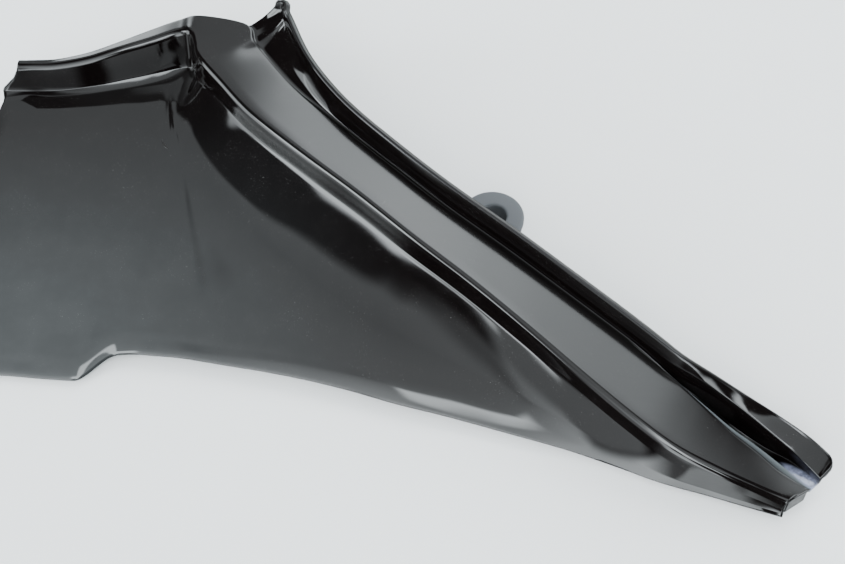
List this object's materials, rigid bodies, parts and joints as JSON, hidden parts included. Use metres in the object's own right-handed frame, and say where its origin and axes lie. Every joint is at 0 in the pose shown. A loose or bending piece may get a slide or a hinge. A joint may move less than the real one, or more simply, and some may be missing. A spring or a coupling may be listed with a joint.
{
  "type": "motorcycle tank side cover",
  "caption": "Gloss black moulded side cover for a motorcycle tank, with a raised rim, a channel, an outer wall and a rubber grommet in its fixing tab.",
  "frame": {"origin": "on the surface that the cover rests on, under the middle of its plan outline", "axes": "+X from the broad end to the tip, +Y from the lower edge to the tank side, +Z out of the cover's outer face, along the grommet and the pegs"},
  "size_m": [0.3082, 0.183, 0.0545],
  "materials": {
    "black_abs": "gloss black moulded ABS, satin in the channel, with light handling scratches",
    "grey_rubber": "soft dark grey rubber"
  },
  "bodies": {
    "root": {"cover_shell": "black_abs", "rubber_grommet": "grey_rubber"}
  },
  "joints": []
}
